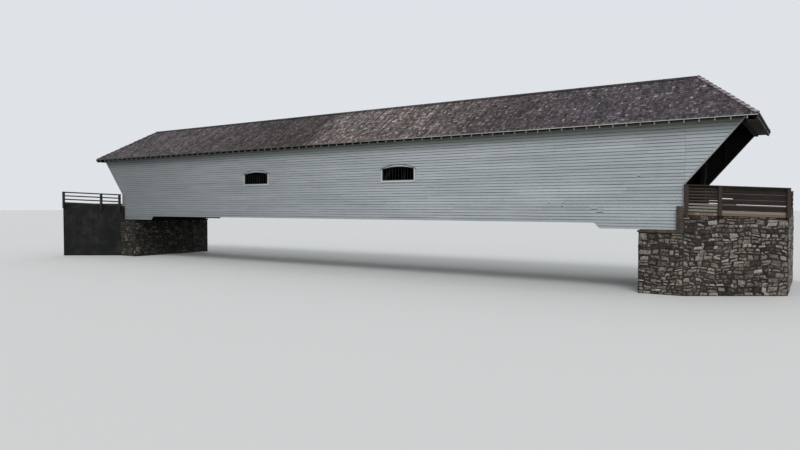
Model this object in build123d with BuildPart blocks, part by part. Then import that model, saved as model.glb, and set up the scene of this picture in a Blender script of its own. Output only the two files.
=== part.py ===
from build123d import *
import math
import os

os.makedirs("parts", exist_ok=True)

# A timber covered bridge at half its real size, in millimetres.
# X runs along the bridge, Y runs across it, and Z is up from the water level.
# Each side wall hangs on a timber truss with iron tie rods. The hipped roof reaches out
# over raked ends, and the bridge sits on masonry at the head of each splayed approach.

# Side walls, measured on the face of the boards
span_len = 21000.0  # between the upright corners
wall_width = 3400.0  # over the boards, near side to far side
rake_out = 1200.0  # how far the raked tip leans out past the corner
board_bottom = 1600.0
break_z = 2470.0  # where the raked edge starts
board_top = 3900.0
board_t = 16.0
skirt_drop = 135.0  # the deeper stretch of boards over each seat
skirt_len = 1860.0
skirt_slant = 140.0
edge_trim_w = 35.0
edge_trim_t = 10.0

# Windows, two in each side wall
window_x = 2875.0
window_w = 1040.0
window_sill = 2760.0
window_spring = 300.0
window_rise = 60.0
casing_w = 70.0
casing_t = 12.0
lining_t = 10.0

# Trusses
panel_count = 14
leaf_w = 75.0
leaf_gap = 25.0
chord_h = 150.0
bottom_chord_z = 1630.0
top_chord_z = 3650.0
brace_h = 100.0
block_reach = 50.0  # from the panel point to the middle of a block's face
block_h = 70.0
rod_d = 19.0
rod_sides = 8
rod_plate_l = 70.0
rod_plate_t = 12.0
end_post_l = 100.0

# Framing behind the boards
stud = 50.0
stud_pitch = 750.0

# Floor
floor_beam_w = 100.0
floor_beam_h = 120.0
joist_w = 50.0
joist_h = 62.0
joist_count = 7
plank_t = 38.0

# Roof
side_overhang = 210.0
end_overhang = 225.0
eave_z = 3900.0  # underside of the roof boards at the eave
ridge_top = 5165.0
roof_t = 30.0  # boards and shingles, measured upright
rafter_w = 25.0
rafter_h = 84.0  # measured upright
rafter_pitch = 305.0
tail_back = 20.0  # from the roof edge back to the rafter tails
tie_w = 75.0
tie_h = 90.0
plate_w = 100.0
plate_h = 120.0
ridge_board_w = 25.0
ridge_board_h = 110.0
hip_rafter_w = 38.0
hip_rafter_h = 110.0
cap_w = 95.0  # level measure, each side of the ridge or hip
cap_t = 10.0
header_w = 90.0
header_h = 120.0
fascia_t = 20.0
soffit_t = 16.0

# Masonry and approaches
seat_z = 1450.0
seat_len = 950.0
seat_cap_h = 50.0
seat_cap_proud = 25.0
masonry_proud = 75.0
cheek_len = 150.0  # masonry that stands in front of the end of each wall
cheek_gap = 2.0
approach_len = 1950.0  # along X
splay = 33.3  # degrees, the approach turns off the bridge's line
left_grade = 0.055  # rises away from the bridge
right_grade = -0.04  # falls away from the bridge
kerb_w = 150.0
kerb_h = 190.0
bed_w = 150.0
bed_count = 4
wing_stud_out = 450.0  # from the corner to the stud behind each wing

# Railings on the kerbs
rail_top = 2475.0
post_w = 75.0
post_out = 75.0  # how far the posts stand out from the kerb
first_bay = 775.0
second_bay = 1550.0
rail_t = 25.0
cap_board_t = 18.0  # the board laid flat along the top of the right railings
cap_board_over = 10.0
head_h = 97.0  # first bay: one wide board under the cap, then narrow ones
narrow_h = 50.0
narrow_pitch = 68.0
wide_head_h = 125.0  # second bay
wide_h = 112.0
wide_pitch = 130.0
wide_gap = wide_pitch - wide_h
narrow_gap = narrow_pitch - narrow_h
rail_h = 50.0
rail_gap = 90.0

# Worked out from the sizes above
half_len = span_len / 2
half_w = wall_width / 2
tip_x = half_len + rake_out
wall_inner = half_w - board_t
truss_outer = wall_inner - stud
truss_w = 3 * leaf_w + 2 * leaf_gap
truss_inner = truss_outer - truss_w
chord_top = bottom_chord_z + chord_h
clear_h = top_chord_z - chord_top
panel = (span_len - 2 * end_post_l) / panel_count
upper_z = top_chord_z + chord_h  # where the tie beams sit
plate_z = upper_z + tie_h
plate_top = plate_z + plate_h
beam_top = chord_top + floor_beam_h
joist_top = beam_top + joist_h
deck_z = joist_top + plank_t
eave_y = half_w + side_overhang
eave_x = tip_x + end_overhang
roof_rise = ridge_top - roof_t - eave_z
side_slope = roof_rise / eave_y
end_slope = roof_rise / (eave_x - half_len)
turn = math.radians(splay)
out_x, out_y = math.cos(turn), math.sin(turn)
sides = (("near", -1), ("far", 1))
ends = (("left", -1, left_grade), ("right", 1, right_grade))


def save(piece, name):
    piece.part.label = name
    export_step(piece.part, f"parts/{name}.step")


def spaced(low, high, pitch):
    """Evenly spaced places from low to high, about one pitch apart."""
    gaps = max(1, round((high - low) / pitch))
    return [low + (high - low) * i / gaps for i in range(gaps + 1)]


def wall_plane(s, depth):
    """Upright plane at one depth on one side, with X as X and Y as up, facing outwards."""
    return Plane(origin=(0, s * depth, 0), x_dir=(1, 0, 0), z_dir=(0, -1, 0))


# Masonry
def approach_points(e, low, high):
    """Plan of the splayed approach between two lines across the road, on end e."""
    shift = approach_len * math.tan(turn)
    near_x, far_x = e * half_len, e * (half_len + approach_len)
    return [(near_x, low), (far_x, low + e * shift), (far_x, high + e * shift), (near_x, high)]


def sloped(e, grade, z):
    """Plane through one level at the bridge's end that follows the approach's grade."""
    return Plane(origin=(e * half_len, 0, z), z_dir=(-e * grade, 0, 1))


masonry_y = half_w + masonry_proud
kerb_cut = kerb_w / out_x
for end, e, grade in ends:
    with BuildPart() as abutment:
        with BuildSketch():
            Polygon(*approach_points(e, -masonry_y, masonry_y), align=None)
        extrude(amount=2 * deck_z)
        split(bisect_by=sloped(e, grade, deck_z - kerb_h), keep=Keep.BOTTOM)
        with BuildPart(mode=Mode.PRIVATE) as road_fill:
            with BuildSketch():
                Polygon(*approach_points(e, kerb_cut - masonry_y, masonry_y - kerb_cut), align=None)
            extrude(amount=2 * deck_z)
            split(bisect_by=sloped(e, grade, deck_z), keep=Keep.BOTTOM)
        add(road_fill.part)
        with BuildSketch():
            with Locations((e * (half_len - seat_len / 2), 0)):
                Rectangle(seat_len, 2 * masonry_y)
        extrude(amount=seat_z - seat_cap_h)
    save(abutment, f"{end}_abutment")

    with BuildPart() as kerbs:
        with BuildSketch():
            Polygon(*approach_points(e, -masonry_y, kerb_cut - masonry_y), align=None)
            Polygon(*approach_points(e, masonry_y - kerb_cut, masonry_y), align=None)
        extrude(amount=2 * deck_z)
        split(bisect_by=sloped(e, grade, deck_z), keep=Keep.BOTTOM)
        split(bisect_by=sloped(e, grade, deck_z - kerb_h), keep=Keep.TOP)
    save(kerbs, f"{end}_kerbs")

    with BuildPart() as seat:
        with Locations((e * (half_len - (seat_len + seat_cap_proud) / 2), 0, seat_z - seat_cap_h / 2)):
            Box(seat_len + seat_cap_proud, 2 * (masonry_y + seat_cap_proud), seat_cap_h)
        cheek_t = masonry_proud - edge_trim_t - cheek_gap
        with Locations(*[(e * (half_len - cheek_len / 2), s * (masonry_y - cheek_t / 2),
                          (seat_z + deck_z) / 2) for _, s in sides]):
            Box(cheek_len, cheek_t, deck_z - seat_z)
    save(seat, f"{end}_bridge_seat")

with BuildPart() as bed_timbers:
    bed_h = bottom_chord_z - seat_z
    bed_x = spaced(half_len - seat_len + bed_w / 2, half_len - bed_w / 2, seat_len / (bed_count - 1))
    with Locations(*[(e * x, 0, seat_z + bed_h / 2) for e in (-1, 1) for x in bed_x]):
        Box(bed_w, 2 * wall_inner, bed_h)
save(bed_timbers, "bed_timbers")

# Railings: boards along the kerb, with posts on their outer face.
# Each bay has the height of its top board, and the height, gap and number of those below it.
# The right boards reach down over the kerb under a flat cap, and the left rails stop above it.
bays = ((0.0, first_bay), (first_bay, first_bay + second_bay))
right_rows = ((head_h, narrow_h, narrow_gap, 7), (wide_head_h, wide_h, wide_gap, 4))
left_rows = ((rail_h, rail_h, rail_gap, 3), (rail_h, rail_h, rail_gap, 3))


def board_levels(top, rows):
    """Top and foot of each board of one bay, from the top board down."""
    head, deep, gap, count = rows
    levels = [(top, top - head)]
    for i in range(count):
        high = levels[-1][1] - gap
        levels.append((high, high - deep))
    return levels


def railing(s, e, grade, bay_rows, board_face, cap_h):
    """One railing along a kerb, with its boards laid to the grade of the road."""
    along = Vector(e * out_x, e * out_y, 0)
    outward = Vector(out_y, -out_x, 0) * -s
    corner = Vector(e * half_len, s * masonry_y, 0)
    normal = along.cross(Vector(0, 0, 1))
    facing = 1 if outward.dot(normal) > 0 else -1
    rise = grade * out_x
    post_x = [post_w / 2, first_bay, first_bay + second_bay - post_w / 2]
    post_foot = deck_z - kerb_h
    post_top = rail_top - cap_h / 2
    top = rail_top - cap_h

    def upright(depth):
        return Plane(origin=corner + outward * depth, x_dir=along, z_dir=normal)

    def board(start, stop, low, high):
        Polygon((start, low + rise * start), (stop, low + rise * stop),
                (stop, high + rise * stop), (start, high + rise * start), align=None)

    with BuildPart() as fence:
        with BuildSketch(upright(board_face + rail_t)):
            for x in post_x:
                with Locations((x, (post_top + post_foot) / 2 + rise * x)):
                    Rectangle(post_w, post_top - post_foot)
        extrude(amount=facing * (post_out - board_face - rail_t))
        with BuildSketch(upright(board_face)):
            for (start, stop), rows in zip(bays, bay_rows):
                for high, low in board_levels(top, rows):
                    board(start, stop, low, high)
        extrude(amount=facing * rail_t)
        if cap_h > 0:
            with BuildSketch(upright(board_face - cap_board_over)):
                board(bays[0][0], bays[-1][1], top, rail_top)
            extrude(amount=facing * (post_out - board_face + 2 * cap_board_over))
    return fence


for end, e, grade in ends:
    rows, board_face, cap_h = (left_rows, -rail_t, 0) if e < 0 else (right_rows, 0, cap_board_t)
    for side, s in sides:
        save(railing(s, e, grade, rows, board_face, cap_h), f"{side}_{end}_railing")

# Trusses
block_run = block_h / 2 * (clear_h - block_h) / (panel - 2 * block_reach)
leaves = [truss_outer - leaf_w / 2 - i * (leaf_w + leaf_gap) for i in range(3)]
gaps_y = [truss_outer - leaf_w - leaf_gap / 2 - i * (leaf_w + leaf_gap) for i in range(2)]
points_x = [panel * k - half_len + end_post_l for k in range(panel_count + 1)]
inner_x = points_x[1:-1]


def brace(x0, x1):
    """Outline of one brace, square on the block faces at the foot x0 and the head x1."""
    lean = 1 if x1 > x0 else -1
    foot = Vector(x0 + lean * block_reach, chord_top + block_h / 2)
    head = Vector(x1 - lean * block_reach, top_chord_z - block_h / 2)
    line = head - foot
    angle = math.degrees(math.atan2(line.Y, line.X))
    mid = (foot + head) / 2
    with Locations(Location((mid.X, mid.Y, 0), (0, 0, angle))):
        Rectangle(line.length, brace_h)


def half_block(x, z, up, lean):
    """Half of a block, with its working face leaning to one side."""
    Polygon((x, z), (x + lean * (block_reach + block_run), z),
            (x + lean * (block_reach - block_run), z + up * block_h), (x, z + up * block_h), align=None)


for side, s in sides:
    for name, low in (("bottom", bottom_chord_z), ("top", top_chord_z)):
        with BuildPart() as chord:
            with Locations(*[(0, s * y, low + chord_h / 2) for y in leaves]):
                Box(span_len, leaf_w, chord_h)
        save(chord, f"{side}_{name}_chord")

    with BuildPart() as blocks:
        for y in leaves:
            with BuildSketch(wall_plane(s, y)):
                for x in points_x:
                    for z, up in ((chord_top, 1), (top_chord_z, -1)):
                        if x > points_x[0]:
                            half_block(x, z, up, -1)
                        if x < points_x[-1]:
                            half_block(x, z, up, 1)
            extrude(amount=leaf_w / 2, both=True)
    save(blocks, f"{side}_angle_blocks")

    with BuildPart() as main_braces:
        for y in (leaves[0], leaves[2]):
            with BuildSketch(wall_plane(s, y)):
                for x0, x1 in zip(points_x, points_x[1:]):
                    if x0 < -panel / 2:
                        brace(x0, x1)
                    else:
                        brace(x1, x0)
            extrude(amount=leaf_w / 2, both=True)
    save(main_braces, f"{side}_main_braces")

    with BuildPart() as counter_braces:
        with BuildSketch(wall_plane(s, leaves[1])):
            for x0, x1 in zip(points_x, points_x[1:]):
                if x0 < -panel / 2:
                    brace(x1, x0)
                else:
                    brace(x0, x1)
        extrude(amount=leaf_w / 2, both=True)
    save(counter_braces, f"{side}_counter_braces")

    with BuildPart() as rods:
        with BuildSketch(Plane.XY.offset(bottom_chord_z)):
            with Locations(*[(x, s * y) for x in inner_x for y in gaps_y]):
                RegularPolygon(rod_d / 2, rod_sides, major_radius=False)
        extrude(amount=upper_z - bottom_chord_z)
    save(rods, f"{side}_tie_rods")

with BuildPart() as rod_plates:
    plate_len = 2 * leaf_gap + 2 * leaf_w
    for low in (bottom_chord_z - rod_plate_t, upper_z):
        with BuildSketch(Plane.XY.offset(low)):
            with Locations(*[(x, s * leaves[1]) for x in inner_x for _, s in sides]):
                Rectangle(rod_plate_l, plate_len)
        extrude(amount=rod_plate_t)
save(rod_plates, "rod_plates")

with BuildPart() as end_posts:
    with Locations(*[(e * (half_len - end_post_l / 2), s * (truss_inner + truss_w / 2),
                      chord_top + clear_h / 2) for e in (-1, 1) for _, s in sides]):
        Box(end_post_l, truss_w, clear_h)
save(end_posts, "end_posts")

# Floor
beam_x = [x + panel * share for x in points_x[:-1] for share in (0.25, 0.75)]
with BuildPart() as floor_beams:
    with BuildSketch(Plane.XY.offset(chord_top)):
        with Locations(*[(x, 0) for x in beam_x]):
            Rectangle(floor_beam_w, 2 * truss_outer)
    extrude(amount=floor_beam_h)
save(floor_beams, "floor_beams")

with BuildPart() as joists:
    joist_y = spaced(joist_w - truss_inner, truss_inner - joist_w, 2 * truss_inner / (joist_count - 1))
    with Locations(*[(0, y, beam_top + joist_h / 2) for y in joist_y]):
        Box(span_len, joist_w, joist_h)
save(joists, "joists")

with BuildPart() as deck:
    with Locations((0, 0, joist_top + plank_t / 2)):
        Box(span_len, 2 * truss_inner, plank_t)
save(deck, "deck")

with BuildPart() as tie_beams:
    with Locations(*[(x + panel / 2, 0, upper_z + tie_h / 2) for x in points_x[:-1]]):
        Box(tie_w, 2 * truss_outer, tie_h)
save(tie_beams, "tie_beams")

# Side walls
opening_top = window_sill + window_spring + window_rise


def window_outline(x, grow):
    """Outline of a window, grown evenly, with a shallow arched head."""
    half = window_w / 2 + grow
    low, spring, crown = window_sill - grow, window_sill + window_spring, opening_top + grow
    with BuildLine() as edge:
        Polyline((x - half, spring), (x - half, low), (x + half, low), (x + half, spring))
        ThreePointArc((x + half, spring), (x, crown), (x - half, spring))
    make_face(edge.edges())


skirt_z = board_bottom - skirt_drop
skirt_in = half_len - skirt_len
stud_x = spaced(stud / 2 - half_len, half_len - stud / 2, stud_pitch)
for side, s in sides:
    with BuildPart() as siding:
        with BuildSketch(wall_plane(s, wall_inner)):
            Polygon((-half_len, skirt_z), (-skirt_in, skirt_z), (-skirt_in + skirt_slant, board_bottom),
                    (skirt_in - skirt_slant, board_bottom), (skirt_in, skirt_z), (half_len, skirt_z),
                    (half_len, board_top), (-half_len, board_top), align=None)
        extrude(amount=-s * board_t)
        with BuildSketch(wall_plane(s, wall_inner)):
            for x in (-window_x, window_x):
                window_outline(x, lining_t)
        extrude(amount=-s * board_t, mode=Mode.SUBTRACT)
    save(siding, f"{side}_siding")

    with BuildPart() as windows:
        with BuildSketch(wall_plane(s, truss_outer)):
            for x in (-window_x, window_x):
                window_outline(x, lining_t)
        extrude(amount=-s * (stud + board_t))
        with BuildSketch(wall_plane(s, half_w)):
            for x in (-window_x, window_x):
                window_outline(x, casing_w)
        extrude(amount=-s * casing_t)
        with BuildSketch(wall_plane(s, truss_outer)):
            for x in (-window_x, window_x):
                window_outline(x, 0)
        extrude(amount=-s * (stud + board_t + casing_t), mode=Mode.SUBTRACT)
    save(windows, f"{side}_window_frames")

    with BuildPart() as studs:
        low_end = window_sill - lining_t
        high_end = opening_top + lining_t
        for x in stud_x:
            cut = [w for w in (-window_x, window_x) if abs(x - w) < window_w / 2 + lining_t + stud / 2]
            spans = ((bottom_chord_z, low_end), (high_end, plate_z)) if cut else ((bottom_chord_z, plate_z),)
            for z0, z1 in spans:
                with Locations((x, s * (truss_outer + stud / 2), (z0 + z1) / 2)):
                    Box(stud, stud, z1 - z0)
            if cut:
                reach = 2 * (stud_x[1] - stud_x[0]) - stud
                for z in (low_end - stud / 2, high_end + stud / 2):
                    with Locations((x, s * (truss_outer + stud / 2), z)):
                        Box(reach, stud, stud)
    save(studs, f"{side}_studs")

# Raked wings beyond the corners
lean = (board_top - break_z) / rake_out
rake_len = math.hypot(rake_out, board_top - break_z)


def across(width):
    """Level measure of a strip of one width that lies along the raked edge."""
    return width * rake_len / (board_top - break_z)


for end, e, grade in ends:
    with BuildPart() as wings:
        for side, s in sides:
            with BuildSketch(wall_plane(s, wall_inner)):
                Polygon((e * half_len, break_z), (e * tip_x, board_top), (e * half_len, board_top), align=None)
            extrude(amount=-s * board_t)
    save(wings, f"{end}_raked_wings")

with BuildPart() as corner_trim:
    for side, s in sides:
        for e in (-1, 1):
            with BuildSketch(wall_plane(s, half_w)):
                inner = half_len - edge_trim_w
                Polygon((e * half_len, skirt_z), (e * half_len, break_z), (e * tip_x, board_top),
                        (e * (tip_x - across(edge_trim_w)), board_top),
                        (e * inner, break_z + (across(edge_trim_w) - edge_trim_w) * lean),
                        (e * inner, skirt_z), align=None)
            extrude(amount=-s * edge_trim_t)
save(corner_trim, "corner_trim")

# Roof framing
plate_out = truss_outer
end_plate_out = tip_x + 15


def rafter_outline(start, run, slope, deep, flip, plate_edge, shift):
    """Side of one rafter with its seat cut, from the ridge end out to the tail."""
    def top(u):
        return eave_z + (run - u) * slope

    tail = run - tail_back
    seat_in = run - (plate_top + deep - eave_z) / slope
    points = [(start, top(start)), (tail, top(tail)), (tail, top(tail) - deep),
              (plate_edge, top(plate_edge) - deep), (plate_edge, plate_top), (seat_in, plate_top),
              (start, top(start) - deep)]
    Polygon(*[(flip * (u + shift), z) for u, z in points], align=None)


def hip_plane(e, s, shift):
    """Upright plane along one hip, moved sideways towards the end slope."""
    line = Vector(e * (eave_x - half_len), s * eave_y, 0)
    normal = Vector(e * eave_y, -s * (eave_x - half_len), 0).normalized()
    base = Vector(e * half_len, 0, 0) + normal * shift
    return Plane(origin=base, x_dir=line, z_dir=normal)


half_hip = hip_rafter_w / 2
rafter_x = spaced(-half_len, half_len, rafter_pitch)
step = rafter_x[1] - rafter_x[0]
jack_count = int((eave_x - half_len - tail_back) / step)
jack_x = [half_len + step * (i + 1) for i in range(jack_count)]
side_x = [-x for x in reversed(jack_x)] + rafter_x + jack_x
for side, s in sides:
    with BuildPart() as rafters:
        with BuildSketch(*[Plane.YZ.offset(x) for x in side_x]):
            rafter_outline(ridge_board_w / 2, eave_y, side_slope, rafter_h, s, plate_out, 0)
        extrude(amount=rafter_w / 2, both=True)
        for e in (-1, 1):
            split(bisect_by=hip_plane(e, s, -half_hip), keep=Keep.BOTTOM)
    save(rafters, f"{side}_rafters")

    with BuildPart() as slope:
        with BuildSketch(Plane.YZ):
            Polygon((s * eave_y, eave_z), (s * eave_y, eave_z + roof_t), (0, ridge_top),
                    (0, ridge_top - roof_t), align=None)
        extrude(amount=eave_x, both=True)
        for e in (-1, 1):
            split(bisect_by=hip_plane(e, s, 0), keep=Keep.BOTTOM)
    save(slope, f"{side}_roof_slope")

end_rafter_h = rafter_h * math.hypot(1, end_slope) / math.hypot(1, side_slope)
end_y = spaced(-plate_out, plate_out, rafter_pitch)
for end, e, grade in ends:
    with BuildPart() as hip_framing:
        with BuildSketch(*[wall_plane(1, y) for y in end_y[1:-1]]):
            rafter_outline(0, eave_x - half_len, end_slope, end_rafter_h, e, end_plate_out - half_len, half_len)
        extrude(amount=rafter_w / 2, both=True)
        for s in (-1, 1):
            split(bisect_by=hip_plane(e, s, half_hip), keep=Keep.TOP)
    save(hip_framing, f"{end}_end_rafters")

    with BuildPart() as hip_roof:
        with BuildSketch(wall_plane(1, 0)):
            Polygon((e * eave_x, eave_z), (e * eave_x, eave_z + roof_t), (e * half_len, ridge_top),
                    (e * half_len, ridge_top - roof_t), align=None)
        extrude(amount=eave_y, both=True)
        for s in (-1, 1):
            split(bisect_by=hip_plane(e, s, 0), keep=Keep.TOP)
    save(hip_roof, f"{end}_hip_roof")

with BuildPart() as ridge_board:
    board_z = ridge_top - roof_t - ridge_board_w / 2 * side_slope
    with Locations((0, 0, board_z - ridge_board_h / 2)):
        Box(span_len, ridge_board_w, ridge_board_h)
save(ridge_board, "ridge_board")

with BuildPart() as wall_plates:
    with Locations(*[(0, s * (plate_out - plate_w / 2), plate_z + plate_h / 2) for _, s in sides]):
        Box(2 * (end_plate_out - plate_w), plate_w, plate_h)
save(wall_plates, "wall_plates")

# Portal frames: raked posts behind the wings, a header between them and a plate on top
plate_mid_z = (plate_z + plate_top) / 2
post_head = tip_x - (board_top - plate_z) / lean
for end, e, grade in ends:
    with BuildPart() as portal_frame:
        for _, s in sides:
            with BuildSketch(wall_plane(s, truss_outer)):
                Polygon((e * half_len, break_z), (e * post_head, plate_z),
                        (e * (post_head - across(post_w)), plate_z),
                        (e * half_len, break_z + across(post_w) * lean), align=None)
            extrude(amount=-s * stud)
            with BuildSketch(wall_plane(s, truss_outer)):
                x0, x1 = half_len + wing_stud_out - stud / 2, half_len + wing_stud_out + stud / 2
                foot = [break_z + (x - half_len + across(post_w)) * lean for x in (x0, x1)]
                Polygon((e * x0, foot[0]), (e * x1, foot[1]), (e * x1, plate_z), (e * x0, plate_z), align=None)
            extrude(amount=-s * stud)
        header_x = post_head - header_w / 2
        with Locations((e * header_x, 0, plate_z - header_h / 2)):
            Box(header_w, 2 * truss_outer, header_h)
        with BuildSketch(wall_plane(1, 0)):
            with Locations((e * (end_plate_out - plate_w / 2), plate_mid_z)):
                Rectangle(plate_w, plate_h)
        extrude(amount=plate_out, both=True)
    save(portal_frame, f"{end}_portal_frame")

    with BuildPart() as portal_boards:
        soffit_in, soffit_out = header_x + header_w / 2, eave_x - fascia_t
        soffit_top = eave_z + tail_back * end_slope - end_rafter_h
        fascia_h = eave_z - soffit_top + soffit_t
        with Locations((e * (eave_x - fascia_t / 2), 0, eave_z - fascia_h / 2)):
            Box(fascia_t, 2 * eave_y, fascia_h)
        with Locations((e * (soffit_in + soffit_out) / 2, 0, soffit_top - soffit_t / 2)):
            Box(soffit_out - soffit_in, 2 * half_w, soffit_t)
    save(portal_boards, f"{end}_portal_boards")

# Hip rafters, one timber down each hip, between the side rafters and the end rafters
hip_drop = half_hip * max(side_slope, end_slope)
hip_run = math.hypot(eave_x - half_len, eave_y)
hip_slope = roof_rise / hip_run
for end, e, grade in ends:
    with BuildPart() as hip_rafters:
        for _, s in sides:
            face = Plane(origin=(e * half_len, 0, 0), x_dir=(e * (eave_x - half_len), s * eave_y, 0),
                         z_dir=Vector(e * (eave_x - half_len), s * eave_y, 0).cross(Vector(0, 0, 1)))
            with BuildSketch(face):
                tail = hip_run - 1.5 * tail_back
                start = ridge_board_w
                head = eave_z + roof_rise - hip_drop
                Polygon((start, head - start * hip_slope), (tail, head - tail * hip_slope),
                        (tail, head - tail * hip_slope - hip_rafter_h),
                        (start, head - start * hip_slope - hip_rafter_h), align=None)
            extrude(amount=half_hip, both=True)
        with Locations((e * (end_plate_out - plate_w / 2), 0, plate_mid_z)):
            Box(plate_w, 2 * plate_out, plate_h, mode=Mode.SUBTRACT)
        with Locations(*[(0, s * (plate_out - plate_w / 2), plate_mid_z) for _, s in sides]):
            Box(2 * (end_plate_out - plate_w), plate_w, plate_h, mode=Mode.SUBTRACT)
        split(bisect_by=Plane(origin=(e * (eave_x - fascia_t), 0, 0), z_dir=(e, 0, 0)), keep=Keep.BOTTOM)
    save(hip_rafters, f"{end}_hip_rafters")

# Shingle caps over the ridge and the hips, laid on the roof slopes
with BuildPart() as ridge_cap:
    with BuildSketch(Plane.YZ):
        low = ridge_top - cap_w * side_slope
        Polygon((-cap_w, low), (0, ridge_top), (cap_w, low), (cap_w, low + cap_t),
                (0, ridge_top + cap_t), (-cap_w, low + cap_t), align=None)
    extrude(amount=half_len, both=True)
save(ridge_cap, "ridge_cap")

for end, e, grade in ends:
    with BuildPart() as hip_caps:
        for _, s in sides:
            with BuildPart(mode=Mode.PRIVATE) as side_strip:
                with BuildSketch(Plane.YZ.offset(e * half_len)):
                    Polygon((s * eave_y, eave_z + roof_t), (s * eave_y, eave_z + roof_t + cap_t),
                            (0, ridge_top + cap_t), (0, ridge_top), align=None)
                extrude(amount=e * (eave_x - half_len))
                split(bisect_by=hip_plane(e, s, 0), keep=Keep.BOTTOM)
                split(bisect_by=hip_plane(e, s, -cap_w), keep=Keep.TOP)
            add(side_strip.part)
            with BuildPart(mode=Mode.PRIVATE) as end_strip:
                with BuildSketch(wall_plane(1, 0)):
                    Polygon((e * eave_x, eave_z + roof_t), (e * eave_x, eave_z + roof_t + cap_t),
                            (e * half_len, ridge_top + cap_t), (e * half_len, ridge_top), align=None)
                extrude(amount=eave_y if s < 0 else -eave_y)
                split(bisect_by=hip_plane(e, s, 0), keep=Keep.TOP)
                split(bisect_by=hip_plane(e, s, cap_w), keep=Keep.BOTTOM)
            add(end_strip.part)
    save(hip_caps, f"{end}_hip_caps")
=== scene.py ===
import bmesh
import bpy
import math
import random
import numpy as np
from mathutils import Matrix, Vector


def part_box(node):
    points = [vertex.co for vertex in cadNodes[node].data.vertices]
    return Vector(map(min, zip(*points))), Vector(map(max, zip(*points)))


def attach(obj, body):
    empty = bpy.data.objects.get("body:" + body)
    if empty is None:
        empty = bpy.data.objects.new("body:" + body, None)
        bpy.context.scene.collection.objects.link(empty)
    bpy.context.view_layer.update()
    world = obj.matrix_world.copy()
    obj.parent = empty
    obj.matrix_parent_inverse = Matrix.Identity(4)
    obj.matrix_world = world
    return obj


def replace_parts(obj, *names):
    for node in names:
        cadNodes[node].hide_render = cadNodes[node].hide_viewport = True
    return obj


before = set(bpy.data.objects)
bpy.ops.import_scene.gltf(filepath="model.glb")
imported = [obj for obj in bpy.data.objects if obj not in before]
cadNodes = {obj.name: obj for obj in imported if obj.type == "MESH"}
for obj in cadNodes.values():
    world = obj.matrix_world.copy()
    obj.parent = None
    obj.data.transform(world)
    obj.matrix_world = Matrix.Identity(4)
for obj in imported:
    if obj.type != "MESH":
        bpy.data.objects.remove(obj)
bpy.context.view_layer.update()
print("frame loaded:", len(cadNodes), "nodes")

# A timber covered bridge at half size, in metres. X runs along it, Y across it, Z up.
wallLow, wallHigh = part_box("near_siding")
halfLength, wallFoot, wallTop = wallHigh[0], wallLow[2], wallHigh[2]
faceY, innerY = -wallLow[1], -wallHigh[1]
rakeLow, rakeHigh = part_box("right_raked_wings")
tipX, rakeFoot = rakeHigh[0], rakeLow[2]
roofLow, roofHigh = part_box("near_roof_slope")
eaveX, eaveY, eaveZ, ridgeZ = roofHigh[0], -roofLow[1], roofLow[2], roofHigh[2]
bothSides = (("near", -1), ("far", 1))
bothEnds = (("left", -1), ("right", 1))


# Small tools

def toLinear(hexText):
    parts = [int(hexText[i:i + 2], 16) / 255 for i in (1, 3, 5)]
    return [c / 12.92 if c <= 0.04045 else ((c + 0.055) / 1.055) ** 2.4 for c in parts] + [1.0]


def firstOutput(value):
    # a node stands for its first output
    return value.outputs[0] if isinstance(value, bpy.types.Node) else value


def addNode(tree, kind, inputs=(), stops=None, **settings):
    # inputs go in the node's own order, or by name or number; each is a value, a node or one
    # of its outputs. A stop is a place and a colour.
    node = tree.nodes.new("ShaderNode" + kind)
    for key, value in settings.items():
        setattr(node, key, value)
    for key, value in (inputs.items() if isinstance(inputs, dict) else enumerate(inputs)):
        if isinstance(firstOutput(value), bpy.types.NodeSocket):
            tree.links.new(firstOutput(value), node.inputs[key])
        else:
            node.inputs[key].default_value = value
    if stops:
        stops = list(stops)
        ramp = node.color_ramp
        while len(ramp.elements) < len(stops):
            ramp.elements.new(1.0)
        for element, (place, value) in zip(ramp.elements, stops):
            element.position = place
            element.color = toLinear(value)
    return node


def clearSelection():
    if bpy.context.object and bpy.context.object.mode != "OBJECT":
        bpy.ops.object.mode_set(mode="OBJECT")
    bpy.ops.object.select_all(action="DESELECT")


def addUnitBlock(name):
    # a block from 0 to 1 each way: along, up and outwards
    clearSelection()
    bpy.ops.mesh.primitive_cube_add(size=1, location=(0.5, 0.5, 0.5))
    bpy.ops.object.transform_apply(location=True, rotation=False, scale=False)
    block = bpy.context.object
    block.name = name
    return block


def startEdit(block, test):
    # opens edit mode with the edges selected that pass the test
    bpy.ops.object.mode_set(mode="EDIT")
    bpy.ops.mesh.select_mode(type="EDGE")
    shape = bmesh.from_edit_mesh(block.data)
    for part in list(shape.verts) + list(shape.edges) + list(shape.faces):
        part.select = False
    for edge in shape.edges:
        if test([v.co for v in edge.verts]):
            edge.select_set(True)
    bmesh.update_edit_mesh(block.data)


def cutAlong(block, cuts):
    startEdit(block, lambda ends: abs(ends[0].x - ends[1].x) > 0.5)
    bpy.ops.mesh.subdivide(number_cuts=cuts)
    bpy.ops.object.mode_set(mode="OBJECT")


def bevelFront(block, amount):
    startEdit(block, lambda ends: all(end.z > 0.99 for end in ends))
    bpy.ops.mesh.bevel(offset=amount, segments=1, affect="EDGES")
    bpy.ops.object.mode_set(mode="OBJECT")


def removeShape(*blocks):
    for block in blocks:
        bpy.data.objects.remove(block, do_unlink=True)


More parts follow.
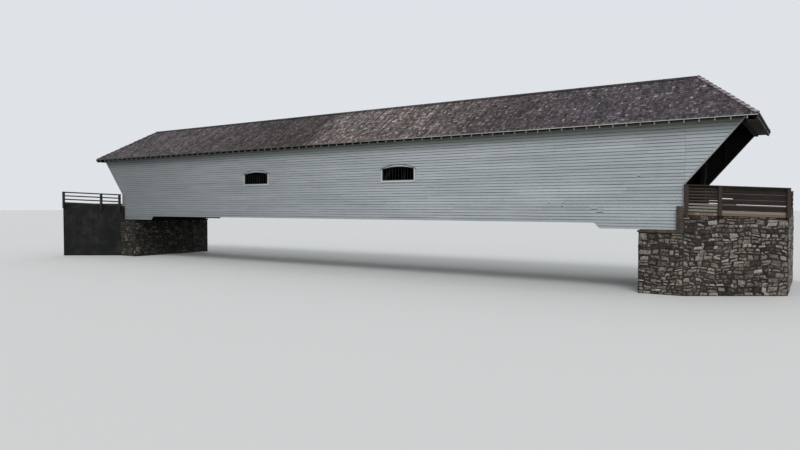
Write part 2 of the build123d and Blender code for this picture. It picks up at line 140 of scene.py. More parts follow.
def stretchCopies(name, block, corners, tones, material, wander=None):
    # Each copy of the unit block is stretched between eight corners, given as
    # [along 0 or 1][up 0 or 1][back 0 or front 1], and all are joined in one mesh.
    # Each face keeps its copy's tone, and each point its rise, from foot 0 to head 1.
    unit = np.array([list(v.co) for v in block.data.vertices])
    polygons = [list(p.vertices) for p in block.data.polygons]
    corners = np.asarray(corners, dtype=float)
    u, v, w = unit.T
    points = np.zeros((len(corners), len(unit), 3))
    for i, a in enumerate((1 - u, u)):
        for j, b in enumerate((1 - v, v)):
            for k, c in enumerate((1 - w, w)):
                points += (a * b * c)[None, :, None] * corners[:, i, j, k][:, None, :]
    if wander is not None:
        points = wander(points, unit)
    start = corners[:, 0, 0, 0]
    turns = np.einsum("ni,ni->n", np.cross(corners[:, 1, 0, 0] - start, corners[:, 0, 1, 0] - start),
                      corners[:, 0, 0, 1] - start)
    faces = []
    for number, turn in enumerate(turns):
        first = number * len(unit)
        for polygon in polygons:
            ring = [first + p for p in polygon]
            faces.append(ring if turn > 0 else ring[::-1])
    mesh = bpy.data.meshes.new(name)
    mesh.from_pydata(points.reshape(-1, 3).tolist(), [], faces)
    tone = mesh.attributes.new("tone", "FLOAT", "FACE")
    tone.data.foreach_set("value", np.repeat(np.asarray(tones, dtype=np.float32), len(polygons)))
    rise = mesh.attributes.new("rise", "FLOAT", "POINT")
    rise.data.foreach_set("value", np.tile(v, len(corners)).astype(np.float32))
    mesh.materials.append(material)
    piece = bpy.data.objects.new(name, mesh)
    bpy.context.scene.collection.objects.link(piece)
    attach(piece, "root")
    return piece


def slab(place, along, up, depth):
    # Eight corners on a surface: place(a, b, d) is a point there, along = (start, end),
    # up = (low, high), and depth = (back low, front low, back high, front high).
    return [[[place(a, b, depth[2 * j + k]) for k in (0, 1)] for j, b in enumerate(up)] for a in along]


def evenSteps(low, high, pitch):
    count = max(1, round((high - low) / pitch))
    return [low + (high - low) * i / count for i in range(count + 1)]


def brokenRun(low, high, lengths, rng):
    # joints along a run, each stretch of a random length
    joints = [low]
    while high - joints[-1] > lengths[1]:
        joints.append(joints[-1] + rng.uniform(*lengths))
    if high - joints[-1] < lengths[0] * 0.6 and len(joints) > 1:
        joints[-1] = (joints[-2] + high) / 2
    return joints + [high]


def joinPieces(pieces):
    # all of them become one mesh, in the first one's object
    clearSelection()
    for piece in pieces:
        piece.select_set(True)
    bpy.context.view_layer.objects.active = pieces[0]
    bpy.ops.object.join()
    return bpy.context.object


def layBlocks(name, corners, tones, material, cuts=0, wander=None):
    # copies of the plain block, cut along its length where it has to bend
    block = addUnitBlock(name + "_block")
    if cuts:
        cutAlong(block, cuts)
    piece = stretchCopies(name, block, corners, tones, material, wander)
    removeShape(block)
    return piece


# Materials. All read Object coordinates, in metres, and some the tone of each board or stone.
# A MapRange takes its value, then from which low and high, and to which low and high.

def startMaterial(name, roughness, metallic=0.0):
    material = bpy.data.materials.new(name)
    material.use_nodes = True
    tree = material.node_tree
    shader = tree.nodes["Principled BSDF"]
    shader.inputs["Roughness"].default_value = roughness
    shader.inputs["Metallic"].default_value = metallic
    return material, tree, addNode(tree, "TexCoord").outputs["Object"]


def reopenMaterial(material):
    # what a further layer over a finished material needs
    tree = material.node_tree
    colour = tree.nodes["Principled BSDF"].inputs["Base Color"].links[0].from_socket
    coords = addNode(tree, "TexCoord").outputs["Object"]
    return tree, colour, addNode(tree, "SeparateXYZ", (coords,))


def layOver(tree, colour, layers):
    # each layer is a mask and the colour that shows where it is 1; the last lies on top
    for mask, hexText in layers:
        colour = addNode(tree, "Mix", {0: mask, 6: colour, 7: toLinear(hexText)},
                         data_type="RGBA").outputs[2]
    return colour


def finishMaterial(material, colour, height=None, strength=0.0, distance=0.0):
    # the colour goes to the shader, and so does a bump that follows the height
    tree = material.node_tree
    inputs = tree.nodes["Principled BSDF"].inputs
    tree.links.new(firstOutput(colour), inputs["Base Color"])
    if height is not None:
        bump = addNode(tree, "Bump", {"Height": height, "Strength": strength, "Distance": distance})
        tree.links.new(firstOutput(bump), inputs["Normal"])
    return material


paintLook = {
    "boards": ("#a2a8aa", "#bac0c2", "#cbd0d1"),
    "trim": ("#8b8f8f", "#a7abab", "#bcc0bf"),
    "frames": ("#b4b8ba", "#ced1d2", "#e0e2e2"),
    "strips": ("#a3a59a", "#cdcec2", "#ecebdf"),
    # the soffit boards are white paint, darkened as painted shade under the eaves and greenish with
    # weathering
    "soffit": ("#2b2c24", "#45453a", "#626254"),
    # the drip boards are painted dark grey as the shadow line under each drip
    "drips": ("#3a3d40", "#4c5053", "#63676a"),
    # bareWood also serves as painted shade under the laps and on faces that look down; inside is
    # near-black, painted shade on the unpainted inner faces
    "grime": "#6c7173", "mildew": "#8b937a", "bareWood": "#45423f", "inside": "#140f0c",
    "mildewFrom": 3.58, "mildewFull": 3.92,   # heights under the eaves
    "shadeFrom": 3.0, "shadeFull": -9.5,      # the wall is darker and greyer towards the left end
    "shadeDirt": 0.72,
    "footFrom": 1.95, "footFull": 1.46,       # the lowest rows are a little dirtier
    "streakScale": (4, 4, 0.5),               # rain streaks about 250 mm wide
    "chipScale": (30, 30, 75),                # flakes of 10 to 30 mm
    "edgeFlaking": 0.085,
    "lapFrom": 0.58, "lapFull": 0.74,         # where dirt gathers and painted shade falls under the board above
    "lapDirtAndShade": 0.68,
    "lapRunScale": (1.5, 1.5, 13),            # each run of lap dirt is some 700 mm long and one row high
    "dimFrom": 5.0, "dimFull": 0.0, "dimStrip": "#4a4843",   # along the eave strips, where their painted highlight fades to dark
    "stop": "#141518",                        # painted shade round the window openings, in the recess
}


def makePaint(name, hexes, onBoards):
    # Weathered white oil paint on sawn pine: chalky, so rough and low in gloss, greyed by
    # rain, green with mildew under the eaves, and down to grey wood where it has flaked.
    material, tree, coords = startMaterial(name, 0.72)
    look = paintLook
    broad = addNode(tree, "Mapping", {"Vector": coords, "Scale": (0.35, 1, 1.6)})
    blotch = addNode(tree, "TexNoise", {"Vector": broad, "Scale": 1.5, "Detail": 6.0, "Roughness": 0.62})
    if onBoards:
        tone = addNode(tree, "Attribute", attribute_name="tone").outputs["Fac"]
        shade = addNode(tree, "Math", (tone, blotch), operation="ADD")
        shade = addNode(tree, "Math", (shade, 0.5), operation="MULTIPLY")
    else:
        shade = addNode(tree, "Math", (blotch, 1.05), operation="MULTIPLY")
    base = addNode(tree, "ValToRGB", (shade,), stops=zip((0.25, 0.5, 0.75), hexes))
    thin = addNode(tree, "Mapping", {"Vector": coords, "Scale": look["streakScale"]})
    streak = addNode(tree, "TexNoise", {"Vector": thin, "Scale": 1.0, "Detail": 4.0})
    streakMask = addNode(tree, "MapRange", (streak, 0.5, 0.8, 0.0, 0.05))
    split = addNode(tree, "SeparateXYZ", (coords,))
    masks = []
    for axis, change, amount in (("Z", "mildew", 1.7 if onBoards else 0.0), ("Z", "foot", 0.22),
                                 ("X", "shade", look["shadeDirt"] * (1.0 if onBoards else 0.4))):
        none, full = look[change + "From"], look[change + "Full"]
        masks.append(addNode(tree, "MapRange", (split.outputs[axis], none, full, 0.0, amount)))
    green, damp, shaded = masks
    green = addNode(tree, "Math", (green, blotch), operation="MULTIPLY", use_clamp=True)
    small = addNode(tree, "Mapping", {"Vector": coords, "Scale": look["chipScale"]})
    flake = addNode(tree, "TexNoise", {"Vector": small, "Scale": 1.0, "Detail": 3.0})
    if onBoards:
        # paint flakes first along the lower edges, where rain hangs
        rise = addNode(tree, "Attribute", attribute_name="rise").outputs["Fac"]
        hanging = addNode(tree, "MapRange", (rise, 0.22, 0.0, 0.0, look["edgeFlaking"]))
        flake = addNode(tree, "Math", (flake, hanging), operation="ADD")
    chipMask = addNode(tree, "MapRange", (flake, 0.735, 0.765))
    layers = [(streakMask, look["grime"]), (green, look["mildew"]), (damp, look["grime"]),
              (shaded, look["grime"]), (chipMask, look["bareWood"])]
    if onBoards:
        # dirt and painted shade under each lap, painted shade in the colour of bare wood on the faces that
        # look down, and no paint on the inner faces, which are painted near-black as shade
        lap = addNode(tree, "MapRange", (rise, look["lapFrom"], look["lapFull"], 0.0, look["lapDirtAndShade"]),
                      interpolation_type="SMOOTHSTEP")
        runs = addNode(tree, "Mapping", {"Vector": coords, "Scale": look["lapRunScale"]})
        run = addNode(tree, "TexNoise", {"Vector": runs, "Scale": 1.0, "Detail": 5.0, "Roughness": 0.7})
        uneven = addNode(tree, "MapRange", (run, 0.35, 0.65, 0.35, 1.3))
        lapDirtAndShadeMask = addNode(tree, "Math", (lap, uneven), operation="MULTIPLY", use_clamp=True)
        # faces that look down are painted dark as shade, in the colour of bare wood
        facing = addNode(tree, "SeparateXYZ", (addNode(tree, "NewGeometry").outputs["Normal"],))
        underShade = addNode(tree, "Math", (facing.outputs["Z"], -0.6), operation="LESS_THAN")
        # the unpainted inner faces are painted near-black: painted shade inside the bridge
        outwards = addNode(tree, "Math", (facing.outputs["Y"], split.outputs["Y"]), operation="MULTIPLY")
        inner = addNode(tree, "Math", (outwards, -0.5), operation="LESS_THAN")
        layers += [(lapDirtAndShadeMask, look["bareWood"]), (underShade, look["bareWood"]), (inner, look["inside"])]
    grain = addNode(tree, "Mapping", {"Vector": coords, "Scale": (6, 160, 160)})
    fibre = addNode(tree, "TexNoise", {"Vector": grain, "Scale": 1.0, "Detail": 4.0})
    raised = addNode(tree, "Math", (fibre, chipMask), operation="SUBTRACT")
    return finishMaterial(material, layOver(tree, base, layers), raised, 0.35, 0.002)


shingleLook = {
    "dark": "#2c2727", "brown": "#574e4f", "greyed": "#8d8185", "pale": "#dccecb",
    # edge is the shakes' pale lower edge, partly end grain and partly painted highlight
    "edge": "#d1c4c2", "rustPatch": "#806556",
    # how the roof has weathered along its length: grey at the left hip, then browner, then
    # washed pale over the middle, then dark again towards the right
    "stretches": ((-9.5, "#b0aeb0"), (-6.0, "#a9a4a1"), (-2.5, "#98918c"), (-0.8, "#97908a"),
                  (0.4, "#ecebe1"), (3.4, "#eae9df"), (5.6, "#a7a1a0"), (8.5, "#bfbcc3")),
    "streakScale": (34, 0.5, 0.5),            # washed lines some 30 mm wide that climb the slope
    "fibreScale": (170, 25, 25),              # split fibres 6 mm apart, the same way
    "ragged": 3.0,                            # how far the ends of the stretches wander, in metres
    "evenFrom": 8.5, "evenTo": 5.0,           # near the right hip the shakes differ less
}


def makeShingle(name, buttShadowFrom, buttShadowFull, onEnds=False):
    # Split cedar shakes, weathered: dry silvery-brown, rough, each one its own shade, with
    # pale streaks where rain has washed them and darker damp patches.
    material, tree, coords = startMaterial(name, 0.9)
    look = shingleLook
    streakScale, fibreScale = look["streakScale"], look["fibreScale"]
    if onEnds:
        streakScale, fibreScale = [(y, x, z) for x, y, z in (streakScale, fibreScale)]
    tone = addNode(tree, "Attribute", attribute_name="tone").outputs["Fac"]
    patch = addNode(tree, "TexNoise", {"Vector": coords, "Scale": 1.1, "Detail": 6.0, "Roughness": 0.65})
    turned = addNode(tree, "Mapping", {"Vector": coords, "Scale": streakScale})
    wash = addNode(tree, "TexNoise", {"Vector": turned, "Scale": 1.0, "Detail": 4.0})
    spread = addNode(tree, "MapRange", (patch, 0.3, 0.7, -0.13, 0.13))
    washed = addNode(tree, "MapRange", (wash, 0.42, 0.64, -0.12, 0.42))
    along = addNode(tree, "SeparateXYZ", (coords,))
    share = addNode(tree, "MapRange", (along.outputs["X"], look["evenFrom"], look["evenTo"], 0.3))
    washed = addNode(tree, "Math", (washed, share), operation="MULTIPLY")
    shade = addNode(tree, "Math", (spread, share, tone), operation="MULTIPLY_ADD")
    shade = addNode(tree, "Math", (shade, washed), operation="ADD", use_clamp=True)
    shades = [look[key] for key in ("dark", "brown", "greyed", "pale")]
    base = addNode(tree, "ValToRGB", (shade,), stops=zip((0.0, 0.35, 0.7, 1.0), shades))
    stain = addNode(tree, "TexNoise", {"Vector": coords, "Scale": 2.3, "Detail": 3.0})
    stainMask = addNode(tree, "MapRange", (stain, 0.58, 0.72, 0.0, 0.6))
    stained = addNode(tree, "Math", (stainMask, share), operation="MULTIPLY")
    # the cut lower edges are pale, partly end grain and partly painted highlight, and painted shadow
    # darkens the part just below the next course's butts
    rise = addNode(tree, "Attribute", attribute_name="rise").outputs["Fac"]
    edge = addNode(tree, "MapRange", (rise, 0.05, 0.0))
    edgeGrainAndHighlight = addNode(tree, "Math", (edge, tone), operation="MULTIPLY")
    buttShadow = addNode(tree, "MapRange", (rise, buttShadowFrom, buttShadowFull, 0.0, 0.95))
    colour = layOver(tree, base, [(stained, look["rustPatch"]), (edgeGrainAndHighlight, look["edge"]),
                                  (buttShadow, look["dark"])])
    split = addNode(tree, "Mapping", {"Vector": coords, "Scale": fibreScale})
    fibre = addNode(tree, "TexNoise", {"Vector": split, "Scale": 1.0, "Detail": 5.0})
    fibreTone = addNode(tree, "MapRange", (fibre, 0.35, 0.7, 0.72, 1.2))
    ragged = addNode(tree, "Math", (patch, look["ragged"], along.outputs["X"]), operation="MULTIPLY_ADD")
    length = addNode(tree, "MapRange", (ragged, look["ragged"] / 2 - eaveX, look["ragged"] / 2 + eaveX))
    stretches = [((x / eaveX + 1) / 2, tint) for x, tint in look["stretches"]]
    stretch = addNode(tree, "ValToRGB", (length,), stops=stretches)
    for tint in (fibreTone, stretch):
        colour = addNode(tree, "Mix", {0: 1.0, 6: colour, 7: tint}, data_type="RGBA",
                         blend_type="MULTIPLY").outputs[2]
    return finishMaterial(material, colour, fibre, 0.6, 0.003)


def makeTimber(name, hexes, grainScale, useTone=False, topHex=None):
    # Sawn softwood left bare: grain lines a few millimetres apart that run with the piece,
    # drawn coarse enough to show, and a slow change of shade from damp to dry.
    material, tree, coords = startMaterial(name, 0.85)
    run = addNode(tree, "Mapping", {"Vector": coords, "Scale": grainScale})
    grain = addNode(tree, "TexNoise", {"Vector": run, "Scale": 1.0, "Detail": 5.0, "Roughness": 0.6,
                                       "Distortion": 0.4})
    slow = addNode(tree, "TexNoise", {"Vector": coords, "Scale": 1.7, "Detail": 3.0})
    shade = addNode(tree, "Math", (grain, slow), operation="ADD")
    shade = addNode(tree, "Math", (shade, 0.5), operation="MULTIPLY")
    if useTone:
        tone = addNode(tree, "Attribute", attribute_name="tone").outputs["Fac"]
        tuned = addNode(tree, "MapRange", (tone, 0.0, 1.0, -0.2, 0.2))
        shade = addNode(tree, "Math", (shade, tuned), operation="ADD")
    colour = addNode(tree, "ValToRGB", (shade,), stops=zip((0.3, 0.5, 0.68), hexes))
    if topHex:
        # faces that look up are bleached by sun and rain
        facing = addNode(tree, "SeparateXYZ", (addNode(tree, "NewGeometry").outputs["Normal"],))
        bleach = addNode(tree, "MapRange", (facing.outputs["Z"], 0.3, 0.9, 0.0, 0.85))
        colour = layOver(tree, colour, [(bleach, topHex)])
    return finishMaterial(material, colour, grain, 0.5, 0.003)


def makeIron():
    # Wrought iron rods and cast iron blocks: dull brown-black rust, matt, with orange bloom
    material, tree, coords = startMaterial("rustedIron", 0.8, 0.35)
    noise = addNode(tree, "TexNoise", {"Vector": coords, "Scale": 45.0, "Detail": 6.0})
    rust = ("#1c1613", "#33241c", "#5a3824")
    base = addNode(tree, "ValToRGB", (noise,), stops=zip((0.35, 0.55, 0.75), rust))
    return finishMaterial(material, base, noise, 0.4, 0.001)


def makeConcrete(name, hexes, stainHex, stainAmount):
    # Old cast concrete: sandy grain of about 3 mm, pits, and damp stains that run down
    material, tree, coords = startMaterial(name, 0.92)
    sand = addNode(tree, "TexNoise", {"Vector": coords, "Scale": 140.0, "Detail": 5.0})
    cloud = addNode(tree, "TexNoise", {"Vector": coords, "Scale": 2.2, "Detail": 6.0, "Roughness": 0.65})
    mixed = addNode(tree, "Math", (sand, cloud), operation="ADD")
    shade = addNode(tree, "Math", (mixed, 0.5), operation="MULTIPLY")
    base = addNode(tree, "ValToRGB", (shade,), stops=zip((0.41, 0.5, 0.6), hexes))
    runs = addNode(tree, "Mapping", {"Vector": coords, "Scale": (7, 7, 0.8)})
    stain = addNode(tree, "TexNoise", {"Vector": runs, "Scale": 1.0, "Detail": 5.0})
    stained = addNode(tree, "MapRange", (stain, 0.42, 0.68, 0.0, stainAmount))
    return finishMaterial(material, layOver(tree, base, [(stained, stainHex)]), mixed, 0.5, 0.003)


def makeStone(name, hexes):
    # Rounded rubble and split sandstone: matt, each stone its own brown or grey, and mottled
    material, tree, coords = startMaterial(name, 0.9)
    tone = addNode(tree, "Attribute", attribute_name="tone").outputs["Fac"]
    rough = addNode(tree, "TexNoise", {"Vector": coords, "Scale": 22.0, "Detail": 8.0, "Roughness": 0.65})
    tuned = addNode(tree, "MapRange", (rough, 0.3, 0.7, -0.42, 0.42))
    shade = addNode(tree, "Math", (tone, tuned), operation="ADD", use_clamp=True)
    base = addNode(tree, "ValToRGB", (shade,), stops=zip((0.0, 0.3, 0.55, 0.8, 1.0), hexes))
    return finishMaterial(material, base, rough, 0.8, 0.006)


windows = {
    "places": (-2.875, 2.875),
    "width": 1.04,
    "sill": 2.76,
    "spring": 3.06,
    "crown": 3.12,
    "lining": 0.010, "stop": 0.022,
    "casing": 0.07,
}


rafterLook = {
    "grain": (90, 4, 90),
    "tailFrom": 0.02, "tail": "#5c5b55",      # outside the wall
    "endFrom": 0.0205, "end": "#b9b9b0",      # inside the eave's edge
}


def makeRafterWood():
    # spruce painted near-black inside as painted shade, with tails beyond the wall that once were painted
    look = rafterLook
    material = makeTimber("rafterWood", shadedSpruceHexes, look["grain"])
    tree, colour, split = reopenMaterial(material)
    out = addNode(tree, "Math", (split.outputs["Y"],), operation="ABSOLUTE")
    tail = addNode(tree, "Math", (out, faceY + look["tailFrom"]), operation="GREATER_THAN")
    end = addNode(tree, "Math", (out, eaveY - look["endFrom"]), operation="GREATER_THAN")
    return finishMaterial(material, layOver(tree, colour, [(tail, look["tail"]), (end, look["end"])]))


def makeStripPaint():
    # The strip along the eaves is pale near the right end, partly a painted highlight of the lit shake
    # butts, and dark elsewhere
    look = paintLook
    material = makePaint("whiteStripPaint", look["strips"], False)
    tree, colour, split = reopenMaterial(material)
    dimmed = addNode(tree, "MapRange", (split.outputs["X"], look["dimFrom"], look["dimFull"], 0.0, 0.9))
    return finishMaterial(material, layOver(tree, colour, [(dimmed, look["dimStrip"])]))


def makeFramePaint():
    # White window casings with a dark band, 22 mm wide, along the edge of the opening: painted shade of
    # the recess, drawn as a stop
    material = makePaint("whiteWindowPaint", paintLook["frames"], False)
    tree, colour, split = reopenMaterial(material)
    side = addNode(tree, "Math", (split.outputs["X"],), operation="ABSOLUTE")
    off = addNode(tree, "Math", (side, windows["places"][1]), operation="SUBTRACT")
    away = addNode(tree, "Math", (off,), operation="ABSOLUTE")
    jamb = addNode(tree, "Math", (away, windows["width"] / 2), operation="SUBTRACT")
    square = addNode(tree, "Math", (away, away), operation="MULTIPLY")
    bend = (windows["crown"] - windows["spring"]) / (windows["width"] / 2) ** 2
    over = addNode(tree, "Math", (square, bend, split.outputs["Z"]), operation="MULTIPLY_ADD")
    arch = addNode(tree, "Math", (over, windows["crown"]), operation="SUBTRACT")
    sill = addNode(tree, "Math", (windows["sill"], split.outputs["Z"]), operation="SUBTRACT")
    far = addNode(tree, "Math", (jamb, arch), operation="MAXIMUM")
    far = addNode(tree, "Math", (far, sill), operation="MAXIMUM")
    # the band round the opening is painted shade
    stop = addNode(tree, "Math", (far, windows["stop"]), operation="LESS_THAN")
    return finishMaterial(material, layOver(tree, colour, [(stop, paintLook["stop"])]))


approach = {"length": 1.95, "splay": math.radians(33.3), "kerbHeight": 0.19,
            "grade": {-1: 0.055, 1: -0.04}, "seatPast": 0.025}
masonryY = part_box("right_bridge_seat")[1][1] - approach["seatPast"]

railLook = {
    "boards": ("#17120e", "#271f19", "#3c3128"), "top": "#7d7469",
    "firstBay": 11.15,        # where the first bay ends
    "bays": ((2.342, 0.068, 2.075), (2.314, 0.13, 1.93)),   # top board, pitch and pale below, per bay
    "edge": (0.2, 0.12),      # share of each board's top that is bleached
    "pale": "#9b948a", "worn": "#5c4f45", "shadow": "#14100d", "tan": "#7d6a58", "post": "#40342c",
    "paleAmount": 0.85, "shadowFrom": 0.6, "tanBelow": 1.872, "postFrom": 0.03,
}


def makeRailWood():
    # Rough boards gone dark brown, with bleached top edges and pale lower boards
    look = railLook
    material = makeTimber("weatheredRailBoards", look["boards"], (6, 6, 90), topHex=look["top"])
    tree, colour, split = reopenMaterial(material)
    out = addNode(tree, "Math", (split.outputs["X"], -halfLength), operation="ADD")
    level = addNode(tree, "Math", (out, -approach["grade"][1], split.outputs["Z"]),
                    operation="MULTIPLY_ADD")
    rightEnd = addNode(tree, "Math", (out, 0.0), operation="GREATER_THAN")
    second = addNode(tree, "Math", (split.outputs["X"], look["firstBay"]), operation="GREATER_THAN")
    first = addNode(tree, "Math", (1.0, second), operation="SUBTRACT")
    lowest = addNode(tree, "Math", (level, look["tanBelow"]), operation="LESS_THAN")
    # the posts stand out from the boards, and are a lighter brown
    side = addNode(tree, "Math", (split.outputs["Y"],), operation="SIGN")
    inward = addNode(tree, "Math", (side, -masonryY, split.outputs["Y"]), operation="MULTIPLY_ADD")
    sideways = addNode(tree, "Math", (inward, math.cos(approach["splay"])), operation="MULTIPLY")
    depth = addNode(tree, "Math", (out, -math.sin(approach["splay"]), sideways), operation="MULTIPLY_ADD")
    depth = addNode(tree, "Math", (depth, side), operation="MULTIPLY")
    proud = addNode(tree, "Math", (depth, look["postFrom"]), operation="GREATER_THAN")
    marks = []                # a mask, the bay that it holds for, and its colour
    for bay, (top, pitch, paleBelow), share in zip((first, second), look["bays"], look["edge"]):
        down = addNode(tree, "Math", (top, level), operation="SUBTRACT")
        turns = addNode(tree, "Math", (down, pitch), operation="DIVIDE")
        part = addNode(tree, "Math", (turns,), operation="FRACT")
        edge = addNode(tree, "Math", (part, share), operation="LESS_THAN")
        low = addNode(tree, "Math", (level, paleBelow), operation="LESS_THAN")
        low = addNode(tree, "Math", (low, look["paleAmount"]), operation="MULTIPLY")
        marks += [(edge, bay, look["worn"]), (low, bay, look["pale"])]
        if bay is first:
            foot = addNode(tree, "Math", (part, look["shadowFrom"]), operation="GREATER_THAN")
            marks.append((foot, bay, look["shadow"]))
    layers = []
    for mask, bay, hexText in marks + [(lowest, 1.0, look["tan"]), (proud, 1.0, look["post"])]:
        here = addNode(tree, "Math", (bay, rightEnd), operation="MULTIPLY")
        mask = addNode(tree, "Math", (mask, here), operation="MULTIPLY")
        layers.append((mask, hexText))
    return finishMaterial(material, layOver(tree, colour, layers))


paintedBoards = makePaint("weatheredWhiteClapboards", paintLook["boards"], True)
paintedTrim = makePaint("weatheredWhiteTrim", paintLook["trim"], False)
framePaint = makeFramePaint()
whiteStrip = makeStripPaint()
# soffit paint darkened as painted shade
shadedSoffit = makePaint("shadedSoffitPaint", paintLook["soffit"], False)
# drip boards in dark paint: painted shadow under the drip
dripShadowPaint = makePaint("shadowedDripPaint", paintLook["drips"], False)
cedarShakes = makeShingle("weatheredCedarShakes", 0.34, 0.45)
cedarEndShakes = makeShingle("weatheredCedarEndShakes", 0.34, 0.45, True)
cedarCaps = makeShingle("weatheredCedarCaps", 0.53, 0.61)
# the bare spruce inside is mid-brown; these near-black colours are painted shade of the dark interior
shadedSpruceHexes = ("#14100d", "#1f1915", "#2c241d")
timberAlong = makeTimber("darkSpruceAlong", shadedSpruceHexes, (4, 90, 90))
timberAcross = makeTimber("darkSpruceAcross", shadedSpruceHexes, (90, 4, 90))
timberUpright = makeTimber("darkSpruceUpright", shadedSpruceHexes, (90, 90, 4))
rafterWood = makeRafterWood()
# the window bars are painted near-black as the shade of the interior behind them
shadedBarWood = makeTimber("shadedWindowBars", ("#050506", "#0a0a0c", "#121316"), (90, 90, 4))
# the sheathing too is painted near-black as the shade under the roof
sheathingWood = makeTimber("sheathingBoards", ("#120e0b", "#1c1612", "#28201a"), (5, 90, 90), True)
deckWood = makeTimber("oakDeckPlanks", ("#3b332c", "#544a40", "#6e6357"), (90, 5, 90), True)
railWood = makeRailWood()
rustedIron = makeIron()
tanConcrete = makeConcrete("tanConcrete", ("#76634f", "#a28c75", "#c4ad93"), "#4a3d32", 0.5)
# near-black: dark concrete, painted darker still as the shade at the shaded left end
darkConcrete = makeConcrete("shadedDarkConcrete", ("#020202", "#121411", "#363832"), "#0b0c0a", 0.6)
paleConcrete = makeConcrete("paleSeatConcrete", ("#3b352f", "#554c42", "#72685b"), "#29241f", 0.6)
mortar = makeConcrete("dampLimeMortar", ("#1f1b17", "#332d27", "#494139"), "#191613", 0.5)
rubbleStone = makeStone("sandstoneRubble", ("#25211d", "#514a42", "#7b736a", "#9d9489", "#b5ada1"))
# the left abutment's stones are painted darker as the shade under the bridge
shadedStone = makeStone("shadedRiverRubble", ("#171612", "#2f2c26", "#4a453b", "#655f50", "#827967"))
print("materials made")


# Walls: one clapboard at a time, lapped, butted end to end, and cut round the windows

clapboard = {
    "skirtRows": 2,           # the deeper rows over each seat
    "skirtRise": 0.135,
    "skirtEnd": 8.64,         # where those rows stop at their foot
    "skirtSlant": 0.14,
    "exposure": 0.0762,       # height of each board that shows
    "lap": 0.016,
    "butt": 0.0062,           # how far the lower edge's back stands out
    "thin": 0.004,            # thickness of the upper edge
    "lengths": (1.1, 2.9),
    "gap": 0.0012,
    "cornerGap": 0.005,       # the upright joint where the raked wings start
    "wobble": 0.0012, "wobbleRate": 2.1, "lift": 0.0012, "faceWander": 0.001,
    "headGap": 0.004, "topDrop": 0.028, "dropFrom": 1.0, "dropRun": 9.0,
    "splitHeight": 0.022,
    "tone": (0.5, 0.1),       # middle and spread
}
brokenFeet = {                # side and row from the foot: stretches whose lower edge is split off
    (-1, 6): ((8.42, 8.58),), (-1, 5): ((8.56, 8.72),), (-1, 7): ((7.70, 7.74),),
    (-1, 8): ((7.37, 7.41), (7.73, 7.76)), (-1, 16): ((9.50, 9.55),), (-1, 18): ((7.94, 7.98),),
    (1, 9): ((-6.36, -6.24),), (1, 15): ((3.1, 3.16),),
}


def rakeX(z):
    return halfLength + max(0.0, (z - rakeFoot) / (wallTop - rakeFoot)) * (tipX - halfLength)


def boardRows():
    # foot and head of each row, from the skirt up
    skirtTop = wallFoot + clapboard["skirtRise"]
    feet = evenSteps(wallFoot, skirtTop, clapboard["skirtRise"] / clapboard["skirtRows"])[:-1]
    z = skirtTop
    while z < wallTop - 0.02:
        feet.append(z)
        z += clapboard["exposure"]
    heads = [foot + clapboard["lap"] for foot in feet[1:]] + [wallTop]
    return [(foot, min(head, wallTop - 0.001)) for foot, head in zip(feet, heads)]


def sway(seed, amount):
    # a slow wander of each board in height, the same at its front and back
    def wander(points, unit):
        rng = np.random.default_rng(seed)
        phase = rng.uniform(0, 6.28, len(points))[:, None]
        wave = np.sin(phase + points[:, :, 0] * clapboard["wobbleRate"])
        points[:, :, 2] += amount * wave * (1 - unit[None, :, 1])
        return points
    return wander


def archHeight(x, half, spring, crown):
    # height of a shallow arc over its springing, at x from the middle
    rise = crown - spring
    radius = (half * half + rise * rise) / (2 * rise)
    return spring + math.sqrt(max(0.0, radius * radius - x * x)) - (radius - rise)


def wallHead(x):
    # the top of the boards, which drops a little away from the right corner
    share = min(1.0, max(0.0, (halfLength - clapboard["dropFrom"] - x) / clapboard["dropRun"]))
    return wallTop - clapboard["headGap"] - clapboard["topDrop"] * share


def pickTone(rng, middle, spread):
    return min(1.0, max(0.0, rng.gauss(middle, spread)))


